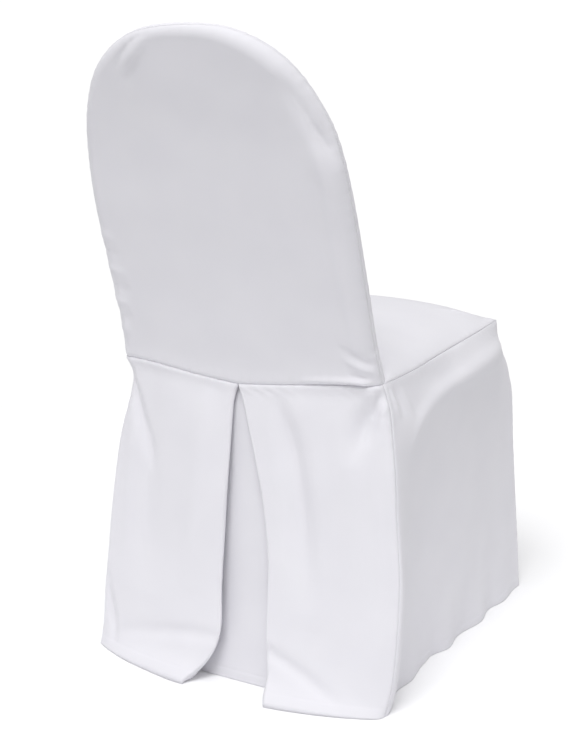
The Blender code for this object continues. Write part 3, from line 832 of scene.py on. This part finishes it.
def round_corner(end, side, corner):
    """Turns the corner where an end skirt and a side skirt meet, at their first columns, in a round."""
    arms = []
    for grid in (end, side):
        arm = grid[:, ARM_COLUMN] - grid[:, 0]
        arms.append((arm / np.linalg.norm(arm, axis=1)[:, None])[:, None])
    inward = (arms[0] + arms[1]) * [1, 1, 0] / math.sqrt(2)
    height = end[:, 0, 2]
    radius = read(corner, "radius", height).clip(SHARPEST_CORNER)[:, None]
    slide = read(corner, "slide", height).clip(0)[:, None]
    for sign, grid, arm in ((1, end, arms[0]), (-1, side, arms[1])):
        distance = lengths_along(grid.transpose(1, 0, 2)).T
        place = sign * distance + slide * np.clip(1 - distance / SLIDE_REACH, 0, 1) ** 2
        grid += place.clip(0)[:, :, None] * arms[0] + (-place).clip(0)[:, :, None] * arms[1]
        grid -= distance[:, :, None] * arm
        fall = np.clip(1 - abs(place) / radius, 0, 1) ** 2
        grid += (CORNER_DEPTH * radius * fall)[:, :, None] * inward


round_corner(rear[:, ::-1], side_right, REAR_CORNER)
round_corner(rear, side_left, REAR_CORNER)
round_corner(front, side_right[:, ::-1], FRONT_CORNER)
round_corner(front[:, ::-1], side_left[:, ::-1], FRONT_CORNER)


# The pleated rear skirt's cloth.
# The flaps hang in soft troughs and swells from the waist seam, which pulls small tight folds at its
# right end. Their hem is turned up once and stitched, and kicks out where it lies on the floor.

# The height of a hem's stitches
HEM_HEIGHT = 14.0
# How much thicker a hem is below its stitches, how soft that step is, and the depth and half width of
# the stitches' groove
HEM_TURN, HEM_TURN_EDGE = 0.4, 1.2
HEM_GROOVE, HEM_GROOVE_WIDTH = 0.3, 1.8
# The rolls beside a skirt's top seam, whose height each skirt gives, and beside its corner seams, with
# how far the stitches hold its folds and the other roll flat
TOP_ROLL = {"peak": 4.5, "gather": 0.12, "fold_hold": 4, "roll_hold": 5}
CORNER_ROLL = {"height": 1.0, "peak": 3, "gather": 0.08, "fold_hold": 6, "roll_hold": 4}
# The flaps' creases, as (x, height, half width, how far they stand out): the left flap's slanting
# trough, the swells at its outer edge and beside its pleat, the fold at its outer foot, the hem's kick
# and the step above it, then the right flap's long trough and upright swell, the hollow and the tight
# folds under the waist's right end, the hem's kick and the step above it
FLAP_CREASES = [
    [(200, 442, 6, 0), (188, 408, 9, -6), (174, 370, 11, -8), (160, 330, 12, -6), (148, 286, 10, 0)],
    [(222, 372, 9, 0), (226, 322, 12, 3), (231, 250, 14, 5), (237, 170, 14, 4.5), (243, 100, 10, 0)],
    [(42, 430, 16, 0), (50, 392, 26, 5), (56, 322, 30, 7), (60, 252, 30, 7), (66, 180, 24, 4),
     (70, 120, 18, 0)],
    [(236, 135, 7, 0), (230, 88, 10, -5), (218, 48, 10, -5), (207, 16, 8, -2)],
    [(232, -12, 20, 4), (180, -12, 28, 13), (120, -12, 30, 18), (60, -12, 30, 19), (40, -10, 28, 16)],
    [(204, 26, 8, 0), (170, 40, 10, -2), (120, 52, 11, -3.5), (70, 62, 11, -4), (20, 68, 10, -3)],
    [(-60, 432, 12, 0), (-80, 392, 18, -8), (-103, 316, 22, -13), (-118, 217, 24, -11),
     (-128, 130, 20, 0)],
    [(-150, 420, 18, 0), (-172, 372, 24, 3), (-190, 316, 26, 4), (-198, 217, 26, 3), (-204, 130, 22, 0)],
    [(-206, 446, 8, 0), (-204, 428, 13, -7), (-198, 404, 16, -10), (-190, 380, 14, -6),
     (-180, 346, 10, 0)],
    [(-209, 453, 4, 0), (-214, 442, 5, -4.5), (-212, 426, 6, -4.5), (-205, 410, 5, 0)],
    [(-218, 450, 4, 0), (-222, 436, 5, 3.5), (-220, 416, 5, 0)],
    [(-84, -12, 32, 20), (-120, -12, 32, 18), (-170, -12, 30, 14), (-226, -12, 24, 8)],
    [(-76, 66, 10, -4), (-116, 50, 11, -4.5), (-160, 28, 10, -3), (-196, 10, 8, 0)],
]
# How high it waves where it is slack, and how high it rolls beside the waist seam
REAR_SKIRT_SLACK, REAR_SKIRT_ROLL = 1.6, 2.4


def hem(height):
    """The relief of a turned and stitched hem: thicker below the stitches, and drawn in at them."""
    turned = HEM_TURN / (1 + np.exp((height - HEM_HEIGHT) / HEM_TURN_EDGE))
    return turned - HEM_GROOVE * np.exp(-(((height - HEM_HEIGHT) / HEM_GROOVE_WIDTH) ** 2))


def skirt_relief(grid, folds, roll, seed):
    """A skirt's relief: its folds, and what it has at its top seam, its corner seams and its hem."""
    from_top = lengths_along(grid)
    along = lengths_along(grid.transpose(1, 0, 2)).T
    from_corner = np.minimum(along, along[:, -1:] - along)
    held = clear_of(from_top, TOP_ROLL["fold_hold"]) * clear_of(from_corner, CORNER_ROLL["fold_hold"])
    top_roll = rolled(from_top, along, {**TOP_ROLL, "height": roll}, seed) + hem(grid[:, :, 2])
    top_roll *= clear_of(from_corner, CORNER_ROLL["roll_hold"])
    corner_roll = rolled(from_corner, from_top, CORNER_ROLL, seed + 1)
    return folds * held + top_roll + corner_roll * clear_of(from_top, TOP_ROLL["roll_hold"])


def skirt_threads(grid):
    """Where each point of a skirt lay while it was flat: from its middle, and down from its top."""
    along = lengths_along(grid.transpose(1, 0, 2)).T
    return along - along[:, -1:] / 2, lengths_along(grid)


on_flap = np.ones(rear.shape[1])
on_flap[FLAP_COLUMNS:-FLAP_COLUMNS] = 0
folds = folded(rear[:, :, 0], rear[:, :, 2], FLAP_CREASES, REAR_SKIRT_SLACK, seed=8)
relief = skirt_relief(rear, folds * on_flap, REAR_SKIRT_ROLL, seed=9)
relief = relief * on_flap + hem(rear[:, :, 2]) * (1 - on_flap)
piece = hang(
    "pleated_rear_skirt", rear, skirt_threads(rear), relief, False
)
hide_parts("rear_skirt")


# The side skirts' cloths.
# Each is gathered a little below the rear end of the seat's seam, breaks over the cushion's edge and
# falls from there to its waved hem, which is turned up and stitched.

# The side skirts' creases, as (y, height, half width, how far they stand out): gathers below the rear
# end of the seat's seam, the edge where the cloth breaks over the cushion and starts to hang, and on
# the left three hanging folds
RIGHT_CREASES = [
    [(148, 450, 4, 0), (146, 432, 6, 2.6), (143, 408, 6, 0)],
    [(136, 453, 5, 0), (132, 436, 7, -2), (130, 408, 6, 0)],
    [(118, 446, 6, 0), (112, 424, 9, 1.6), (108, 400, 8, 0)],
    [(-286, 434, 8, 1), (-252, 435, 10, 4.5), (-183, 435, 12, 6), (-74, 428, 12, 6),
     (15, 418, 12, 5.5), (59, 408, 12, 4.5), (90, 395, 11, 3), (111, 378, 9, 1.6), (132, 356, 8, 0)],
]
LEFT_CREASES = [
    [(150, 450, 4, 0), (146, 430, 6, 2), (142, 404, 6, 0)],
    [(132, 450, 5, 0), (127, 430, 7, -2), (124, 402, 6, 0)],
    [(-284, 426, 8, 1), (-183, 422, 11, 3), (-60, 412, 11, 3), (30, 399, 11, 3), (88, 376, 10, 2.6),
     (128, 352, 9, 0)],
    [(64, 330, 12, 0), (58, 220, 18, 3), (50, 110, 24, 5), (44, 0, 26, 7)],
    [(-40, 390, 10, 0), (-52, 300, 16, -3), (-62, 180, 20, -4), (-70, 60, 20, 0)],
    [(-196, 400, 10, 0), (-206, 280, 16, 3), (-214, 140, 20, 5), (-218, 0, 22, 6)],
]
# How high they wave where they are slack, and how high each rolls beside the seat's seam
SIDE_SKIRT_SLACK, SIDE_SKIRT_ROLL = 1.8, {"right": 0.6, "left": 1.6}

folds = folded(side_right[:, :, 1], side_right[:, :, 2], RIGHT_CREASES, SIDE_SKIRT_SLACK, seed=11)
relief = skirt_relief(side_right, folds, SIDE_SKIRT_ROLL["right"], seed=12)
piece = hang(
    "right_side_cloth", side_right, skirt_threads(side_right), relief, False,
)
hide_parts("right_side_skirt")

folds = folded(side_left[:, :, 1], side_left[:, :, 2], LEFT_CREASES, SIDE_SKIRT_SLACK, seed=14)
relief = skirt_relief(side_left, folds, SIDE_SKIRT_ROLL["left"], seed=15)
piece = hang(
    "left_side_cloth", side_left, skirt_threads(side_left), relief, True,
)
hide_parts("left_side_skirt")


# The front skirt's cloth.
# It hangs from the seat's front seam in soft upright folds, which grow towards its stitched hem.

# The front skirt's folds, as (x, height, half width, how far they stand out)
FRONT_SKIRT_CREASES = [
    [(-196, 458, 6, 0), (-184, 400, 13, 4), (-176, 300, 17, 7), (-172, 150, 21, 8), (-168, 0, 25, 9)],
    [(-140, 452, 6, 0), (-132, 360, 14, -2), (-122, 220, 20, -5), (-116, 0, 26, -6)],
    [(-66, 330, 12, 0), (-60, 200, 20, 4), (-52, 0, 26, 8)],
    [(6, 250, 14, 0), (12, 120, 22, -3), (14, 0, 28, -6)],
    [(74, 300, 12, 0), (78, 180, 18, 3), (82, 0, 24, 6)],
    [(116, 456, 7, 0), (126, 380, 14, -4), (132, 220, 19, -6), (136, 0, 22, -6)],
    [(190, 456, 6, 0), (186, 390, 12, 4), (188, 240, 16, 6), (192, 100, 18, 6), (196, 0, 20, 5)],
]
FRONT_SKIRT_SLACK, FRONT_SKIRT_ROLL = 1.8, 1.6

folds = folded(front[:, :, 0], front[:, :, 2], FRONT_SKIRT_CREASES, FRONT_SKIRT_SLACK, seed=17)
relief = skirt_relief(front, folds, FRONT_SKIRT_ROLL, seed=18)
piece = hang(
    "front_cloth", front, skirt_threads(front), relief, False
)
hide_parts("front_skirt")


# The studio, in metres.
# A round sheet of plain pale paper for a floor, an even pale surround that is brighter overhead, and a
# large soft light high behind the camera.

bpy.context.scene.view_settings.view_transform = "Standard"

FLOOR_RADIUS = 1.6
FLOOR_SIDES = 96
# The floor lies this much lower than the hems, so that the two don't share a plane
FLOOR_DROP = 0.0005
PAPER_WHITE = "#f6f6f7"
PAPER_ROUGHNESS, PAPER_GLOSS = 0.9, 0.1
# The floor's own faint glow near the cover and far from it, where it melts into the surround, and
# where between the two the glow starts to grow and ends
FLOOR_GLOW = 0.03
FLOOR_GLOW_FAR = 0.2
GLOW_START, GLOW_END = 0.55, 1.5
turn = np.linspace(0, 2 * math.pi, FLOOR_SIDES, endpoint=False)
ring = np.stack([np.cos(turn), np.sin(turn), 0 * turn], 1) * FLOOR_RADIUS
floor_mesh = bpy.data.meshes.new("studio_floor")
floor_mesh.from_pydata(ring.tolist(), [], [list(range(FLOOR_SIDES))])
floor = bpy.data.objects.new("studio_floor", floor_mesh)
bpy.context.scene.collection.objects.link(floor)
floor.location.z = -FLOOR_DROP

pale_paper = bpy.data.materials.new("paper pale matt")
pale_paper.use_nodes = True
surface = pale_paper.node_tree.nodes["Principled BSDF"]
surface.inputs["Base Color"].default_value = colour(PAPER_WHITE)
surface.inputs["Roughness"].default_value = PAPER_ROUGHNESS
surface.inputs["Specular IOR Level"].default_value = PAPER_GLOSS
surface.inputs["Emission Color"].default_value = (1, 1, 1, 1)
tree = pale_paper.node_tree
place = add_node(tree, "ShaderNodeTexCoord")
from_middle = add_node(
    tree, "ShaderNodeVectorMath", operation="LENGTH", links=[(place.outputs["Object"], "Vector")]
)
glow = add_node(
    tree, "ShaderNodeMapRange", links=[(from_middle.outputs["Value"], "Value")],
    **{"From Min": GLOW_START, "From Max": GLOW_END, "To Min": FLOOR_GLOW, "To Max": FLOOR_GLOW_FAR},
)
tree.links.new(glow.outputs["Result"], surface.inputs["Emission Strength"])
floor_mesh.materials.append(pale_paper)

# The surround's brightness as it lights the cloth, level with it and overhead, and as it is seen
SURROUND_LEVEL = 0.425
SURROUND_OVERHEAD = 0.8
SURROUND_SEEN = 1.02

world = bpy.data.worlds.new("pale surround")
world.use_nodes = True
tree = world.node_tree
way = add_node(tree, "ShaderNodeTexCoord")
up = add_node(tree, "ShaderNodeSeparateXYZ", links=[(way.outputs["Generated"], "Vector")])
glow = add_node(
    tree, "ShaderNodeMapRange", links=[(up.outputs["Z"], "Value")],
    **{"To Min": SURROUND_LEVEL, "To Max": SURROUND_OVERHEAD},
)
seen = add_node(tree, "ShaderNodeLightPath")
strength = add_node(
    tree, "ShaderNodeMix", B=SURROUND_SEEN,
    links=[(seen.outputs["Is Camera Ray"], "Factor"), (glow.outputs["Result"], "A")],
)
tree.links.new(strength.outputs["Result"], tree.nodes["Background"].inputs["Strength"])
tree.nodes["Background"].inputs["Color"].default_value = (1, 1, 1, 1)
bpy.context.scene.world = world

# The soft light: where it stands, what it points at, its width, and its power in watts
LIGHT_PLACE = Vector((-0.85, 3.3, 6.0))
LIGHT_AIM = Vector((0, 0.1, 0.4))
LIGHT_WIDTH = 2.9
LIGHT_POWER = 260
softbox_data = bpy.data.lights.new("key_softbox", "AREA")
softbox_data.size = LIGHT_WIDTH
softbox_data.energy = LIGHT_POWER
softbox = bpy.data.objects.new("key_softbox", softbox_data)
bpy.context.scene.collection.objects.link(softbox)
softbox.location = LIGHT_PLACE
softbox.rotation_euler = (LIGHT_AIM - LIGHT_PLACE).to_track_quat("-Z", "Y").to_euler()


# The camera.
# It stands behind the cover's right corner, a little lower than its top, and looks down at its middle.
# Its place and aim are in metres, and its sensor and lens in millimetres.

CAMERA_PLACE = Vector((-0.9005, 1.6471, 0.8543))
CAMERA_AIM = Vector((0.0530, -0.0466, 0.3963))
CAMERA_SENSOR = 36
CAMERA_LENS = 59.52
camera_data = bpy.data.cameras.new("camera")
camera_data.sensor_width = CAMERA_SENSOR
camera_data.lens = CAMERA_LENS
camera = bpy.data.objects.new("camera", camera_data)
bpy.context.scene.collection.objects.link(camera)
camera.location = CAMERA_PLACE
camera.rotation_euler = (CAMERA_AIM - CAMERA_PLACE).to_track_quat("-Z", "Y").to_euler()
bpy.context.scene.camera = camera
